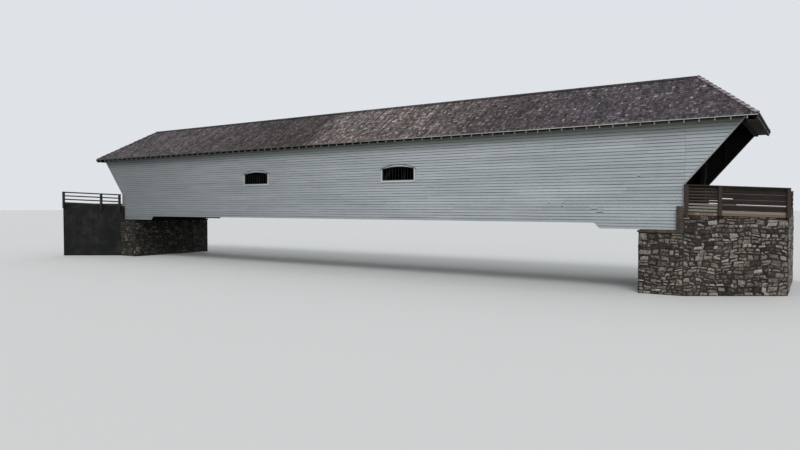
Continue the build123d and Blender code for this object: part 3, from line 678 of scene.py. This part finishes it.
def layWall(side, s):
    # one side wall between the upright corners; s is -1 near, 1 far
    rng = random.Random(30 + s)
    corners, tones = [], []
    archCorners, archTones = [], []
    inner = clapboard["skirtEnd"]
    slant = clapboard["skirtSlant"] / clapboard["skirtRise"]
    openHalf = windows["width"] / 2 + windows["lining"]
    openFoot = windows["sill"] - windows["lining"]
    openHead = windows["crown"] + windows["lining"]

    def place(x, z, d):
        return (x, s * (innerY + d), z)

    def addBoard(row, start, end, foot, head, depth, tone, into, intoTones):
        board = slab(place, (start, end), (foot, head), depth)
        for i, x in ((0, start), (1, end)):
            top = min(head, wallHead(x))
            board[i][1] = [(px, py, top) for px, py, pz in board[i][1]]
            if row < clapboard["skirtRows"] and abs(abs(x) - inner) < 0.01:
                # the skirt's inner ends lean, in line with each other
                for j, z in ((0, foot), (1, head)):
                    moved = math.copysign(inner - (z - wallFoot) * slant, x)
                    board[i][j] = [(moved, py, pz) for px, py, pz in board[i][j]]
        into.append(board)
        intoTones.append(tone)

    for row, (foot, head) in enumerate(boardRows()):
        thick = faceY - innerY - rng.random() * clapboard["faceWander"]
        depth = (clapboard["butt"], thick, 0.0, clapboard["thin"])
        runs = [(-halfLength, halfLength)]
        if row < clapboard["skirtRows"]:
            runs = [(-halfLength, -inner), (inner, halfLength)]
        splits = brokenFeet.get((s, row), ())
        crossed = foot < openHead and head > openFoot
        for low, high in runs:
            joints = brokenRun(low, high, clapboard["lengths"], rng)
            for split in splits:
                kept = [x for x in joints if x in (low, high) or abs(x - split[0]) > 0.2]
                joints = sorted(kept + list(split))
            if crossed:
                jambs = [x + way * openHalf for x in windows["places"] for way in (-1, 1)]
                kept = [x for x in joints if min(abs(x - jamb) for jamb in jambs) > 0.25
                        and min(abs(x - middle) for middle in windows["places"]) > openHalf]
                joints = sorted(kept + jambs)
            for start, end in zip(joints, joints[1:]):
                if min(wallHead(start), wallHead(end)) < foot + 0.012:
                    continue
                split = start in [piece[0] for piece in splits]
                tone = pickTone(rng, *clapboard["tone"])
                start += clapboard["gap"] * rng.random()
                lift = 0.0
                if row > clapboard["skirtRows"]:
                    lift = rng.uniform(-clapboard["lift"], clapboard["lift"])
                over = min(abs((start + end) / 2 - middle) for middle in windows["places"]) < 0.1
                if crossed and over:
                    if foot < openFoot:
                        addBoard(row, start, end, foot, openFoot, depth, tone, corners, tones)
                    elif head > windows["spring"] + 0.02:
                        addBoard(row, start, end, foot, head, depth, tone, archCorners, archTones)
                else:
                    lift += clapboard["splitHeight"] * split
                    addBoard(row, start, end, foot + lift, head, depth, tone, corners, tones)

    def overArch(points, unit):
        # the feet of the boards over a window follow its arch
        for copy in points:
            middle = min(windows["places"], key=lambda place: abs(place - copy[:, 0].mean()))
            arch = [archHeight(min(abs(x - middle), openHalf), openHalf, windows["spring"], openHead)
                    for x in copy[:, 0]]
            copy[:, 2] = np.maximum(copy[:, 2], arch)
        return points

    plain = layBlocks(side + "_clapboards", corners, tones, paintedBoards, 5,
                      sway(7 + s, clapboard["wobble"]))
    over = layBlocks(side + "_arch_boards", archCorners, archTones, paintedBoards, 19, overArch)
    piece = joinPieces([plain, over])
    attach(piece, "root")
    return piece


for side, s in bothSides:
    siding = layWall(side, s)
    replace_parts(siding, side + "_siding")
print("walls laid")

# the raked wings, past the upright corners, where each row ends on the slant
for end, e in bothEnds:
    rng = random.Random(50 + e)
    corners, tones = [], []
    for s in (-1, 1):
        for foot, head in boardRows():
            if head < rakeFoot + 0.02 or foot > wallTop - 0.01:
                continue
            foot = max(foot, rakeFoot)
            head = min(head, wallTop - clapboard["headGap"])
            board = slab(lambda x, z, d: (x, s * (innerY + d), z), (e * (halfLength + 0.001), e * tipX),
                         (foot, head), (clapboard["butt"], faceY - innerY, 0.0, clapboard["thin"]))
            for j, z in ((0, foot), (1, head)):
                board[1][j] = [(e * (rakeX(z) - 0.001), y, h) for _, y, h in board[1][j]]
                back, front = board[0][j]
                board[0][j] = [back, (e * (halfLength + clapboard["cornerGap"]), front[1], front[2])]
            corners.append(board)
            tones.append(pickTone(rng, *clapboard["tone"]))
    wings = layBlocks(end + "_wing_boards", corners, tones, paintedBoards, 3,
                      sway(60 + e, clapboard["wobble"]))
    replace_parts(wings, end + "_raked_wings")
print("wings laid")


# Roof: open sheathing boards, then shakes in lapped courses, then caps over hips and ridge

roof = {
    "thickness": 0.03,        # upright
    "sheathing": 0.010,
    "sheathingWidth": 0.085,
    "sheathingGap": 0.012,
    "exposure": 0.115,
    "shakeLength": 0.25,
    "widths": (0.035, 0.085),
    "boardLengths": (1.5, 3.0),
    "overhang": 0.012,        # of the first course
    "courseWander": 0.008, "startWander": 0.05, "lift": (-0.0018, 0.0014), "buttWear": 0.002,
    "shortest": 0.03, "shortestWander": 0.002,
    "tone": (0.40, 0.19), "starterTone": 0.02,
    "buttFront": 0.0245,      # outward, from the underside of the sheathing
    "buttBack": 0.0150,
    "headFront": 0.0130,
    "headBack": 0.0105,
    "joint": 0.005,
    "capOverlap": 1.6,        # length of a cap shake over what shows of it
    "capWander": 0.006, "capButt": (0.85, 1.08), "capSpread": (0.92, 1.06),
    "capBack": 0.0015, "capHead": 0.0025,
    "ridgeWidth": 0.095, "ridgeLift": 0.0085, "ridgeExposure": 0.10, "ridgeTone": (0.1, 0.08),
    # the hip caps get pale tones: a painted highlight where their tops catch the sky
    "hipWidth": 0.06, "hipLift": 0.034, "hipExposure": 0.2, "hipTone": (0.92, 0.2),
}
roofRise = ridgeZ - roof["thickness"] - eaveZ
hipRun = eaveX - halfLength


def slopeSurface(kind, way):
    # A point on a roof slope from (along, up the slope, outwards), the limit of "along" at
    # each height, and the slope's length. kind is "side" or "end"; way is -1 or 1.
    run, base, spread, shrink = eaveY, eaveY, eaveX, hipRun
    if kind == "end":
        run, base, spread, shrink = hipRun, eaveX, eaveY, eaveY
    length = math.hypot(run, roofRise)
    cosine, sine = run / length, roofRise / length

    def place(a, b, d):
        out = base - b * cosine + d * sine
        z = eaveZ + b * sine + d * cosine
        return (a, way * out, z) if kind == "side" else (way * out, a, z)

    def limit(b):
        return spread - shrink * min(b, length) / length

    return place, limit, length


def clipped(place, limit, along, up, depth):
    # a slab whose ends follow the hips
    if all(min(along) >= limit(b) or max(along) <= -limit(b) for b in up):
        return None
    piece = []
    for a in along:
        column = []
        for j, b in enumerate(up):
            x = max(-limit(b), min(limit(b), a))
            column.append([place(x, b, depth[2 * j + k]) for k in (0, 1)])
        piece.append(column)
    return piece


def layRoof(name, kind, way, seed):
    rng = random.Random(seed)
    place, limit, length = slopeSurface(kind, way)
    corners, tones = [], []
    step = roof["sheathingWidth"] + roof["sheathingGap"]
    b = 0.0
    while b < length - 0.03:
        top = min(b + roof["sheathingWidth"], length - 0.002)
        joints = brokenRun(-limit(b), limit(b), roof["boardLengths"], rng)
        for start, end in zip(joints, joints[1:]):
            board = clipped(place, limit, (start + 0.001, end), (b, top), (0, roof["sheathing"]) * 2)
            if board:
                corners.append(board)
                tones.append(rng.random())
        b += step
    sheathing = layBlocks(name + "_sheathing", corners, tones, sheathingWood)
    corners, tones = [], []
    course = 0
    foot = -roof["overhang"]
    while foot < length - 0.05:
        a = -limit(max(foot, 0)) - rng.random() * roof["startWander"]
        while a < limit(max(foot, 0)):
            width = rng.uniform(*roof["widths"])
            low = foot + rng.gauss(0, roof["courseWander"]) * (foot > 0)
            high = min(low + roof["shakeLength"], length)
            lift = rng.uniform(*roof["lift"])
            buttFront = roof["buttFront"] + lift - rng.uniform(0, roof["buttWear"])
            depth = (roof["buttBack"] + lift / 2, buttFront, roof["headBack"], roof["headFront"])
            shortest = roof["shortest"] + rng.gauss(0, roof["shortestWander"])
            shake = clipped(place, limit, (a + roof["joint"] / 2, a + width - roof["joint"] / 2),
                            (low, high), depth)
            if shake and high - low > shortest:
                corners.append(shake)
                shown = kind == "side" or course > 0
                tones.append(pickTone(rng, *roof["tone"]) if shown else roof["starterTone"])
            a += width
        course += 1
        foot += roof["exposure"]
    shakes = layBlocks(name + "_shakes", corners, tones, cedarShakes if kind == "side" else cedarEndShakes)
    print(name, len(corners), "shakes in", course, "courses")
    return shakes, sheathing


for side, s in bothSides:
    for piece in layRoof(side + "_roof", "side", s, 70 + s):
        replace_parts(piece, side + "_roof_slope")
for end, e in bothEnds:
    for piece in layRoof(end + "_hip_roof", "end", e, 80 + e):
        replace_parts(piece, end + "_hip_roof")


def capShake(line, reach, out, start, end, lift, rng):
    # one cap shake on one side of a hip or the ridge: line(t) is the point on it, reach the
    # way across the slope, and out the way that the slope faces
    butt = lift * rng.uniform(*roof["capButt"])
    wide = rng.uniform(*roof["capSpread"])
    corner = []
    for shift in (0.0, wide):
        column = []
        for t, low, high in ((start, roof["capBack"], butt), (end, 0.0, roof["capHead"])):
            base = np.array(line(t)) + np.array(reach) * shift
            column.append([tuple(base + np.array(out) * low), tuple(base + np.array(out) * high)])
        corner.append(column)
    return corner


def layCaps(name, lines, kind, seed):
    rng = random.Random(seed)
    corners, tones = [], []
    lift, exposure, tone = (roof[kind + value] for value in ("Lift", "Exposure", "Tone"))
    for line, length, flanks in lines:
        t = 0.0
        while t < length - 0.02:
            stop = min(t + exposure * roof["capOverlap"], length)
            for reach, out in flanks:
                start = t + rng.gauss(0, roof["capWander"])
                corners.append(capShake(line, reach, out, start, stop, lift, rng))
                tones.append(pickTone(rng, *tone))
            t += exposure
    piece = layBlocks(name, corners, tones, cedarCaps)
    return piece


sideRise = roofRise / eaveY
endRise = roofRise / hipRun


def unitOut(x, y, z):
    size = math.sqrt(x * x + y * y + z * z)
    return (x / size, y / size, z / size)


ridgeFlanks = [((0, s * roof["ridgeWidth"], -roof["ridgeWidth"] * sideRise), unitOut(0, s * sideRise, 1))
               for s in (-1, 1)]
ridgeLine = (lambda t: (t - halfLength, 0.0, ridgeZ), 2 * halfLength, ridgeFlanks)
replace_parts(layCaps("ridge_cap_shakes", [ridgeLine], "ridge", 90), "ridge_cap")

hipPlan = math.hypot(hipRun, eaveY)
hipLength = math.hypot(hipPlan, roofRise)
for end, e in bothEnds:
    lines = []
    for s in (-1, 1):
        def hipLine(t, e=e, s=s):
            share = t / hipLength
            return (e * (eaveX - hipRun * share), s * eaveY * (1 - share),
                    eaveZ + roof["thickness"] + roofRise * share)
        alongSide = roof["hipWidth"] * hipPlan / eaveY
        alongEnd = roof["hipWidth"] * hipPlan / hipRun
        flanks = [((-e * alongSide, 0, 0), unitOut(0, s * sideRise, 1)),
                  ((0, -s * alongEnd, 0), unitOut(e * endRise, 0, 1))]
        lines.append((hipLine, hipLength, flanks))
    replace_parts(layCaps(end + "_hip_cap_shakes", lines, "hip", 95 + e), end + "_hip_caps")

# the pale strip under the first course, partly a painted highlight of the lit shake butts, and the dark
# edge boards at both ends
eaveStrip = {"foot": 3.888, "head": 3.909, "thickness": 0.014}
endBoard = {"foot": 3.860, "head": 3.922, "thickness": 0.022, "past": 0.02}


def blockCorners(one, other):
    # eight corners of an upright block between two opposite corners, in either order
    xs, ys, zs = (sorted(pair) for pair in zip(one, other))
    return [[[(xs[i], ys[1 - k], zs[j]) for k in (0, 1)] for j in (0, 1)] for i in (0, 1)]


corners = []
for s in (-1, 1):
    corners.append(blockCorners((-eaveX, s * eaveY, eaveStrip["foot"]),
                                (eaveX, s * (eaveY + eaveStrip["thickness"]), eaveStrip["head"])))
strips = layBlocks("eave_strips", corners, [0.6, 0.6], whiteStrip, 30)
corners = []
for e in (-1, 1):
    outside = e * (eaveX + endBoard["thickness"])
    halfWidth = eaveY + endBoard["past"]
    corners.append(blockCorners((e * eaveX, -halfWidth, endBoard["foot"]),
                                (outside, halfWidth, endBoard["head"])))
edgeBoards = layBlocks("end_edge_boards", corners, [0.5, 0.5], timberAcross, 30)
print("roof laid")


# Floor planks, laid across the joists

deck = {"plank": 0.15, "gap": 0.003, "wear": 0.003}
deckLow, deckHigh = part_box("deck")
rng = random.Random(5)
corners, tones = [], []
edges = evenSteps(deckLow[0], deckHigh[0], deck["plank"])
for start, end in zip(edges, edges[1:]):
    low = (start + deck["gap"] / 2, deckLow[1], deckLow[2])
    high = (end - deck["gap"] / 2, deckHigh[1], deckHigh[2] - rng.random() * deck["wear"])
    corners.append(blockCorners(low, high))
    tones.append(rng.random())
planks = layBlocks("deck_planks", corners, tones, deckWood)
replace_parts(planks, "deck")
print("deck laid")


# Window bars and the drip board bent over each arch

windowBars = {"count": 9, "thickness": 0.014, "depth": 0.012, "setBack": 0.03}
dripBoard = {"rise": 0.014, "depth": 0.024, "ears": 0.02, "lift": 0.002}


def makeWindows(side, s):
    corners = []
    barY = s * (faceY - windowBars["setBack"])
    for x in windows["places"]:
        pitch = windows["width"] / (windowBars["count"] + 1)
        for i in range(windowBars["count"]):
            middle = x - windows["width"] / 2 + pitch * (i + 1)
            top = archHeight(abs(middle - x), windows["width"] / 2, windows["spring"], windows["crown"])
            half = windowBars["thickness"] / 2
            corners.append(blockCorners((middle - half, barY, windows["sill"]),
                                        (middle + half, barY - s * windowBars["depth"], top - 0.001)))
    bars = layBlocks(side + "_window_bars", corners, [0.5] * len(corners), shadedBarWood)
    corners = []
    half = windows["width"] / 2 + windows["casing"]
    for x in windows["places"]:
        reach, top = half + dripBoard["ears"], windows["spring"] + dripBoard["rise"]
        corners.append(blockCorners((x - reach, s * faceY, windows["spring"]),
                                    (x + reach, s * (faceY + dripBoard["depth"]), top)))

    def bend(points, unit):
        for copy, x in zip(points, windows["places"]):
            across = np.minimum(np.abs(copy[:, 0] - x), half)
            rise = [archHeight(a, half, windows["spring"], windows["crown"] + windows["casing"])
                    - windows["spring"] for a in across]
            copy[:, 2] += np.array(rise) + dripBoard["lift"]
        return points

    drips = layBlocks(side + "_drip_boards", corners, [0.3, 0.3], dripShadowPaint, 23, bend)


for side, s in bothSides:
    makeWindows(side, s)
print("windows fitted")


# Rubble facing on the masonry: rough stones of uneven size, bedded in mortar

rubble = {
    "heights": (0.055, 0.135),
    "widths": (0.07, 0.26),
    "joint": 0.008, "jointShare": (0.35, 0.75),
    "proud": (0.004, 0.022),
    "bedded": 0.03,
    "wave": 0.026, "drift": 0.026, "skew": 0.024,
    "endEase": 0.2, "topEase": 0.15,          # where the courses run straight again
    "widthBase": 0.75, "widthPerHeight": 2.5,
    "doubled": 0.3, "doubledFrom": 0.09,      # share of two small stones, and the least height
    "splitAt": (0.4, 0.6),
    "least": 0.03,            # lower stones than this are left out
    "tone": (0.47, 0.22),
    "bevel": 0.2, "taper": (0.11, 0.13), "dent": 0.2,   # shares of a stone's width, height and depth
}
seatUnder = 1.40              # height of the stones under the bridge seat
seatDepth = 0.95              # how far the abutment reaches in under the bridge
deckTop = deckHigh[2]


def stoneShapes(count, seed):
    # a few rough blocks: bevelled, with every corner pushed about
    shapes = []
    rng = random.Random(seed)
    for number in range(count):
        stone = addUnitBlock("stone" + str(number))
        bevelFront(stone, rubble["bevel"])
        for point in stone.data.vertices:
            if point.co.z > 0.5:
                for axis, taper in enumerate(rubble["taper"]):
                    inward = math.copysign(1, 0.5 - point.co[axis])
                    point.co[axis] += rng.uniform(0.0, taper) * inward
                point.co.z += rng.uniform(-rubble["dent"], 0.0)
        shapes.append(stone)
    return shapes


def faceStones(start, end, low, topAt, outward, rng):
    # stones over one upright wall face from start to end; topAt gives its height along
    run = np.array(end) - np.array(start)
    length = float(np.linalg.norm(run))
    along = run / length
    out = np.array(outward)
    corners, tones = [], []
    phase = rng.uniform(0, 6)

    def place(a, b, d):
        # the courses wave, less so near the ends, the foot and the top
        edge = max(0.0, min(1.0, a / rubble["endEase"], (length - a) / rubble["endEase"]))
        free = max(0.0, min(1.0, b / rubble["topEase"], (topAt(a) - b) / rubble["topEase"]))
        wave = math.sin(3.1 * a + 2.3 * b + phase) + 0.7 * math.sin(8.7 * a - 3.9 * b + phase)
        drift = math.sin(5.3 * b + 2.1 * a + phase) + 0.6 * math.sin(12.7 * b - 1.3 * a)
        base = np.array(start) + along * (a + rubble["drift"] * drift * edge) + out * d
        return (base[0], base[1], b + rubble["wave"] * wave * free)

    z = low
    highest = max(topAt(0.0), topAt(length))
    while z < highest - 0.02:
        height = rng.uniform(*rubble["heights"])
        if highest - (z + height) < rubble["heights"][0]:
            height = highest - z
        a = 0.0
        while a < length - 0.005:
            width = rng.uniform(*rubble["widths"])
            width *= rubble["widthBase"] + height * rubble["widthPerHeight"]
            if length - (a + width) < rubble["widths"][0] * 0.7:
                width = length - a
            parts = ((z, z + height),)
            if rng.random() < rubble["doubled"] and height > rubble["doubledFrom"]:
                bed = z + height * rng.uniform(*rubble["splitAt"])
                parts = ((z, bed), (bed, z + height))
            for low1, high1 in parts:
                gap = rubble["joint"] * rng.uniform(*rubble["jointShare"])
                tops = [min(high1 - gap, topAt(x) - gap) for x in (a, a + width)]
                if min(tops) - low1 < rubble["least"]:
                    continue
                proud = rng.uniform(*rubble["proud"])
                stone = slab(place, (a + gap, a + width - gap), (low1 + gap, tops[0]),
                             (-rubble["bedded"], proud, -rubble["bedded"], proud))
                if tops[0] != tops[1]:
                    stone[1][1] = [(x, y, tops[1]) for x, y, h in stone[1][1]]
                tilt = [rng.uniform(-rubble["skew"], rubble["skew"]) for _ in range(4)]
                for i in (0, 1):
                    for j in (0, 1):
                        inside = low + 0.05 < stone[i][j][0][2] < min(tops) + gap - 0.02 or j == 0 < low1
                        stone[i][j] = [(x, y, max(0.0, h + tilt[2 * i + j] * inside))
                                       for x, y, h in stone[i][j]]
                corners.append(stone)
                tones.append(pickTone(rng, *rubble["tone"]))
            a += width
        z += height
    return corners, tones


def masonryFaces(e):
    # every outer face of one abutment: start, end, height along it and outward way
    turn = approach["splay"]
    grade = approach["grade"][e]
    shift = approach["length"] * math.tan(turn)
    kerbFoot = deckTop - approach["kerbHeight"]
    seatX = halfLength - seatDepth
    faces = []
    for s in (-1, 1):
        corner = (e * halfLength, s * masonryY)
        tip = (e * (halfLength + approach["length"]), s * masonryY + e * shift)
        side = (-math.sin(turn) * s, s * math.cos(turn))
        faces.append((corner, tip, lambda a: kerbFoot + grade * a * math.cos(turn), side))
        faces.append(((e * seatX, s * masonryY), corner, lambda a: seatUnder, (0.0, float(s))))
    faces.append(((e * seatX, -masonryY), (e * seatX, masonryY), lambda a: seatUnder, (-float(e), 0.0)))
    if e > 0:
        # the outer end of the right approach, up to the foot of its kerbs
        endX = halfLength + approach["length"]
        endTop = kerbFoot + grade * approach["length"]
        faces.append(((endX, shift - masonryY), (endX, shift + masonryY), lambda a: endTop, (1.0, 0.0)))
    return faces


shapes = stoneShapes(9, 3)
for end, e in bothEnds:
    rng = random.Random(200 + e)
    groups = [([], []) for _ in shapes]
    for number, (start, stop, topAt, out) in enumerate(masonryFaces(e)):
        if e < 0 and number in (0, 2):
            # the left wing walls are bare concrete
            continue
        corners, tones = faceStones(start, stop, 0.0, topAt, out, rng)
        for corner, tone in zip(corners, tones):
            choice = rng.randrange(len(shapes))
            groups[choice][0].append(corner)
            groups[choice][1].append(tone)
    # the left end's stones take the darker rubble, painted shade under the bridge
    stone = shadedStone if e < 0 else rubbleStone
    pieces = [stretchCopies(end + "_rubble_" + str(number), shape, corners, tones, stone)
              for number, (shape, (corners, tones)) in enumerate(zip(shapes, groups))]
    wallStones = joinPieces(pieces)
    wallStones.name = end + "_rubble_facing"
    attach(wallStones, "root")
    bpy.ops.object.shade_smooth_by_angle(angle=math.radians(25))
removeShape(*shapes)
print("rubble laid")


# Nuts at both ends of each tie rod, outside the plates

ironwork = {
    "nutAcross": 0.036, "nutHeight": 0.016, "plate": 0.012,
    "panels": 14, "firstPoint": -10.4, "rodsAt": (1.5465, 1.4465),
}
rodLow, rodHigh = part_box("near_tie_rods")


def hexShape(name):
    clearSelection()
    bpy.ops.mesh.primitive_cylinder_add(vertices=6, radius=0.5, depth=1, location=(0.5, 0.5, 0.5))
    bpy.ops.object.transform_apply(location=True, rotation=False, scale=False)
    shape = bpy.context.object
    shape.name = name
    bevelFront(shape, 0.08)
    return shape


panel = 2 * abs(ironwork["firstPoint"]) / ironwork["panels"]
half = ironwork["nutAcross"] / 2
corners = []
for k in range(1, ironwork["panels"]):
    x = ironwork["firstPoint"] + panel * k
    for y in [s * rod for s in (-1, 1) for rod in ironwork["rodsAt"]]:
        upper = rodHigh[2] + ironwork["plate"]
        lower = rodLow[2] - ironwork["plate"]
        for foot in (upper, lower - ironwork["nutHeight"]):
            corners.append(blockCorners((x - half, y - half, foot),
                                        (x + half, y + half, foot + ironwork["nutHeight"])))
nutShape = hexShape("nut")
nuts = stretchCopies("rod_nuts", nutShape, corners, [0.5] * len(corners), rustedIron)
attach(nuts, "root")
removeShape(nutShape)
print("ironwork done")


# Carried-over pieces get their finish

finishes = [
    ("portal_boards", shadedSoffit), ("corner_trim", paintedTrim), ("window_frames", framePaint),
    ("tie_rods", rustedIron), ("rod_plates", rustedIron), ("angle_blocks", rustedIron),
    ("floor_beams", timberAcross), ("tie_beams", timberAcross), ("bed_timbers", timberAcross),
    ("end_rafters", timberAlong), ("hip_rafters", timberAlong), ("rafters", rafterWood),
    ("studs", timberUpright), ("end_posts", timberUpright), ("braces", timberUpright),
    ("portal_frame", timberUpright), ("railing", railWood), ("left_kerbs", darkConcrete),
    ("right_kerbs", tanConcrete), ("left_bridge_seat", darkConcrete), ("right_bridge_seat", paleConcrete),
    ("left_abutment", darkConcrete), ("right_abutment", mortar),
]
for name, node in cadNodes.items():
    material = next((finish for part, finish in finishes if part in name), timberAlong)
    node.data.materials.clear()
    node.data.materials.append(material)
print("finishes given")


# Floor, light and camera

clearSelection()
bpy.ops.mesh.primitive_plane_add(size=600, location=(0, 0, -0.001))
floor = bpy.context.object
floor.name = "floor"
floorMaterial, floorTree = startMaterial("palePlasterFloor", 0.95)[:2]
# pale to the eye, but throws back only as much light as a dull one
floorRays = addNode(floorTree, "LightPath")
floorTone = addNode(floorTree, "Mix", {0: floorRays.outputs["Is Camera Ray"], 6: toLinear("#6f6f6c"),
                                       7: toLinear("#d4d4d0")}, data_type="RGBA")
floor.data.materials.append(finishMaterial(floorMaterial, floorTone.outputs[2]))

world = bpy.context.scene.world or bpy.data.worlds.new("studio")
bpy.context.scene.world = world
world.use_nodes = True
sky = world.node_tree
sky.nodes.clear()
light = addNode(sky, "Background", {"Color": toLinear("#eef2f8"), "Strength": 0.8})
seen = addNode(sky, "Background", {"Color": toLinear("#dfe3e8"), "Strength": 1.0})
rays = addNode(sky, "LightPath")
both = addNode(sky, "Math", (rays.outputs["Is Camera Ray"], rays.outputs["Is Glossy Ray"]),
               operation="MAXIMUM")
both = addNode(sky, "Math", (both, rays.outputs["Is Transmission Ray"]), operation="MAXIMUM")
choice = addNode(sky, "MixShader", {0: both, 1: light, 2: seen})
addNode(sky, "OutputWorld", {"Surface": choice})

clearSelection()
bpy.ops.object.light_add(type="SUN", rotation=(math.radians(42), 0, math.radians(28)))
sun = bpy.context.object
sun.data.energy = 1.1
sun.data.angle = math.radians(25)

view = {"place": (12.91, -16.87, 2.0), "heading": 33.3, "pitch": -1.727, "lens": 28.35}
bpy.ops.object.camera_add(location=view["place"],
                          rotation=(math.radians(90 + view["pitch"]), 0, math.radians(view["heading"])))
camera = bpy.context.object
camera.data.lens = view["lens"]
camera.data.sensor_width = 36
camera.data.clip_end = 1000
bpy.context.scene.camera = camera
bpy.context.scene.view_settings.view_transform = "Standard"
